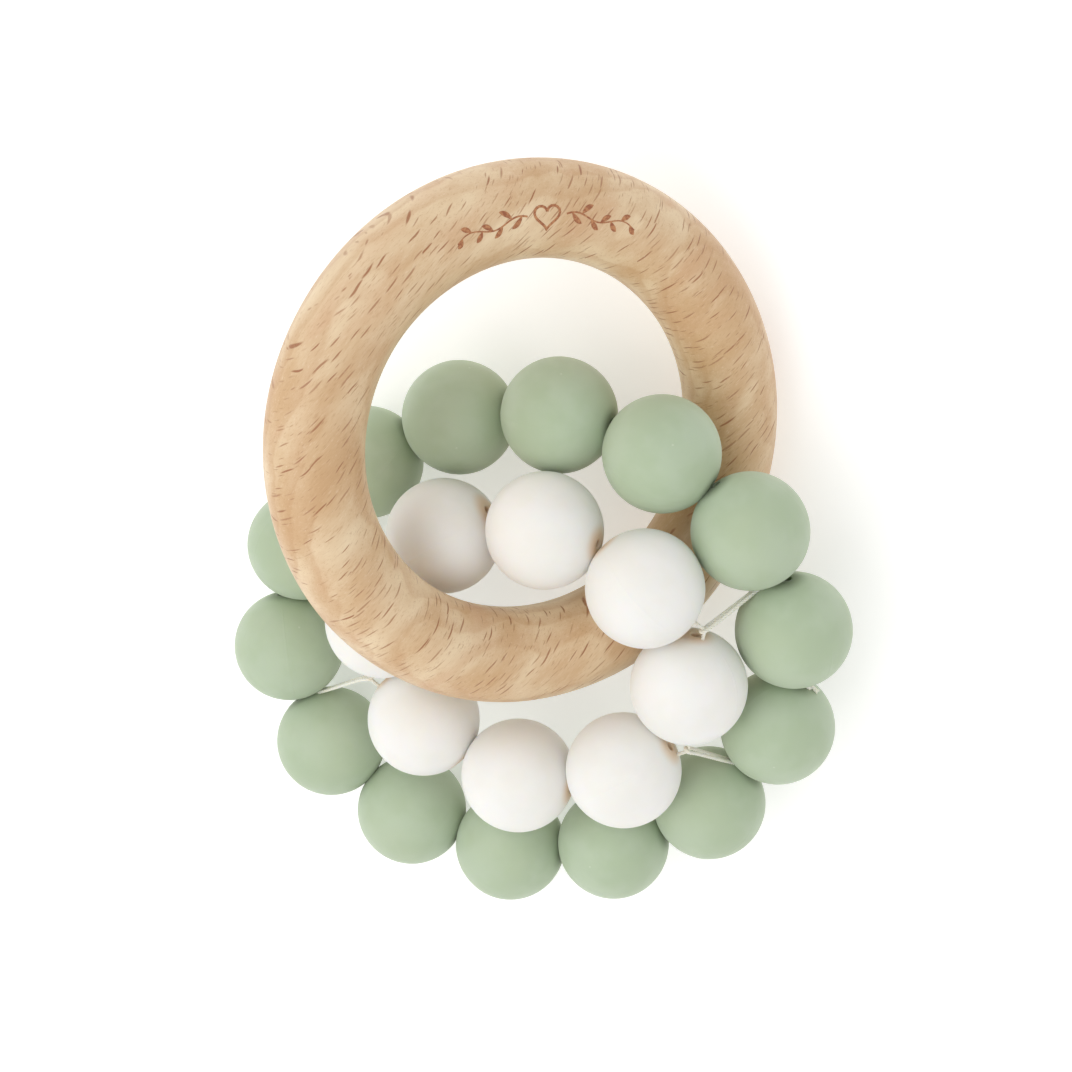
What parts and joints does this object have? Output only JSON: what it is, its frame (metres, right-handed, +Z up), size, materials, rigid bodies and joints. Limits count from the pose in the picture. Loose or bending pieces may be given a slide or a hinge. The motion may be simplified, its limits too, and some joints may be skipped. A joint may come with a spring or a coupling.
{
  "type": "baby rattle",
  "caption": "Teething rattle: a round beech ring threaded through a double loop of silicone beads, strung on two cords that hook into each other.",
  "frame": {"origin": "bottom centre of the whole rattle's box, as it lies on a table", "axes": "+Z up from the table, +Y from the bead loop towards the free part of the ring, +X towards the side where the ring touches the table"},
  "size_m": [0.0852, 0.1035, 0.0447],
  "materials": {
    "beech": "fine-sanded and oiled, satin",
    "green_silicone": "matte moulded silicone, sage green",
    "cream_silicone": "matte moulded silicone, cream",
    "cord": "waxed twisted cord, cream"
  },
  "bodies": {
    "bead_loop": {"outer_cord": "cord", "inner_cord": "cord", "outer_knot": "cord", "inner_knot": "cord"},
    "ring": {"wooden_ring": "beech"},
    "green_bead_01": {"green_bead_01": "green_silicone"},
    "green_bead_02": {"green_bead_02": "green_silicone"},
    "green_bead_03": {"green_bead_03": "green_silicone"},
    "green_bead_04": {"green_bead_04": "green_silicone"},
    "green_bead_05": {"green_bead_05": "green_silicone"},
    "green_bead_06": {"green_bead_06": "green_silicone"},
    "green_bead_07": {"green_bead_07": "green_silicone"},
    "green_bead_08": {"green_bead_08": "green_silicone"},
    "green_bead_09": {"green_bead_09": "green_silicone"},
    "green_bead_10": {"green_bead_10": "green_silicone"},
    "green_bead_11": {"green_bead_11": "green_silicone"},
    "green_bead_12": {"green_bead_12": "green_silicone"},
    "green_bead_13": {"green_bead_13": "green_silicone"},
    "green_bead_14": {"green_bead_14": "green_silicone"},
    "cream_bead_01": {"cream_bead_01": "cream_silicone"},
    "cream_bead_02": {"cream_bead_02": "cream_silicone"},
    "cream_bead_03": {"cream_bead_03": "cream_silicone"},
    "cream_bead_04": {"cream_bead_04": "cream_silicone"},
    "cream_bead_05": {"cream_bead_05": "cream_silicone"},
    "cream_bead_06": {"cream_bead_06": "cream_silicone"},
    "cream_bead_07": {"cream_bead_07": "cream_silicone"},
    "cream_bead_08": {"cream_bead_08": "cream_silicone"}
  },
  "joints": [
    {"name": "ring_turn", "type": "hinge", "parent": "bead_loop", "child": "ring", "pos_m": [0.001, 0.01645, 0.02234], "axis": [0.554, -0.03, 0.832], "continuous": true},
    {"name": "green_bead_01_spin", "type": "hinge", "parent": "bead_loop", "child": "green_bead_01", "pos_m": [0.02922, 0.00498, 0.02061], "axis": [-0.6003, 0.7946, 0.0913], "continuous": true},
    {"name": "green_bead_02_spin", "type": "hinge", "parent": "bead_loop", "child": "green_bead_02", "pos_m": [0.01763, 0.01446, 0.02028], "axis": [-0.8766, 0.4563, -0.153], "continuous": true},
    {"name": "green_bead_03_spin", "type": "hinge", "parent": "bead_loop", "child": "green_bead_03", "pos_m": [0.00374, 0.01825, 0.01616], "axis": [-0.952, 0.0726, -0.2975], "continuous": true},
    {"name": "green_bead_04_spin", "type": "hinge", "parent": "bead_loop", "child": "green_bead_04", "pos_m": [-0.01041, 0.01659, 0.01152], "axis": [-0.9284, -0.2963, -0.2242], "continuous": true},
    {"name": "green_bead_05_spin", "type": "hinge", "parent": "bead_loop", "child": "green_bead_05", "pos_m": [-0.02349, 0.00956, 0.00959], "axis": [-0.7586, -0.6473, -0.0742], "continuous": true},
    {"name": "green_bead_06_spin", "type": "hinge", "parent": "bead_loop", "child": "green_bead_06", "pos_m": [-0.03269, -0.00242, 0.00934], "axis": [-0.3975, -0.917, -0.033], "continuous": true},
    {"name": "green_bead_07_spin", "type": "hinge", "parent": "bead_loop", "child": "green_bead_07", "pos_m": [-0.03508, -0.01719, 0.00863], "axis": [0.1085, -0.9921, -0.0632], "continuous": true},
    {"name": "green_bead_08_spin", "type": "hinge", "parent": "bead_loop", "child": "green_bead_08", "pos_m": [-0.02954, -0.03119, 0.00751], "axis": [0.5886, -0.8075, -0.0387], "continuous": true},
    {"name": "green_bead_09_spin", "type": "hinge", "parent": "bead_loop", "child": "green_bead_09", "pos_m": [-0.01796, -0.04068, 0.0075], "axis": [0.8919, -0.4487, 0.0563], "continuous": true},
    {"name": "green_bead_10_spin", "type": "hinge", "parent": "bead_loop", "child": "green_bead_10", "pos_m": [-0.00351, -0.04429, 0.00915], "axis": [0.9916, -0.0535, 0.1174], "continuous": true},
    {"name": "green_bead_11_spin", "type": "hinge", "parent": "bead_loop", "child": "green_bead_11", "pos_m": [0.01122, -0.04226, 0.01096], "axis": [0.9447, 0.3126, 0.0996], "continuous": true},
    {"name": "green_bead_12_spin", "type": "hinge", "parent": "bead_loop", "child": "green_bead_12", "pos_m": [0.02432, -0.03508, 0.01208], "axis": [0.7498, 0.6528, 0.1081], "continuous": true},
    {"name": "green_bead_13_spin", "type": "hinge", "parent": "bead_loop", "child": "green_bead_13", "pos_m": [0.03325, -0.02308, 0.01413], "axis": [0.3695, 0.9095, 0.1905], "continuous": true},
    {"name": "green_bead_14_spin", "type": "hinge", "parent": "bead_loop", "child": "green_bead_14", "pos_m": [0.03507, -0.00862, 0.01763], "axis": [-0.1385, 0.9649, 0.223], "continuous": true},
    {"name": "cream_bead_01_spin", "type": "hinge", "parent": "bead_loop", "child": "cream_bead_01", "pos_m": [-0.01112, 0.00195, 0.01844], "axis": [0.8218, 0.5342, 0.1984], "continuous": true},
    {"name": "cream_bead_02_spin", "type": "hinge", "parent": "bead_loop", "child": "cream_bead_02", "pos_m": [0.00306, 0.0044, 0.02305], "axis": [0.9564, -0.1329, 0.2599], "continuous": true},
    {"name": "cream_bead_03_spin", "type": "hinge", "parent": "bead_loop", "child": "cream_bead_03", "pos_m": [0.01648, -0.00189, 0.02594], "axis": [0.6907, -0.723, -0.0153], "continuous": true},
    {"name": "cream_bead_04_spin", "type": "hinge", "parent": "bead_loop", "child": "cream_bead_04", "pos_m": [0.02207, -0.01551, 0.02262], "axis": [-0.1067, -0.9786, -0.1759], "continuous": true},
    {"name": "cream_bead_05_spin", "type": "hinge", "parent": "bead_loop", "child": "cream_bead_05", "pos_m": [0.01363, -0.02796, 0.02126], "axis": [-0.8249, -0.5437, -0.1544], "continuous": true},
    {"name": "cream_bead_06_spin", "type": "hinge", "parent": "bead_loop", "child": "cream_bead_06", "pos_m": [-0.00093, -0.03067, 0.01832], "axis": [-0.974, 0.1219, -0.1911], "continuous": true},
    {"name": "cream_bead_07_spin", "type": "hinge", "parent": "bead_loop", "child": "cream_bead_07", "pos_m": [-0.01444, -0.02445, 0.01575], "axis": [-0.6802, 0.7325, -0.028], "continuous": true},
    {"name": "cream_bead_08_spin", "type": "hinge", "parent": "bead_loop", "child": "cream_bead_08", "pos_m": [-0.01973, -0.01042, 0.01754], "axis": [0.1243, 0.9871, 0.1008], "continuous": true}
  ]
}
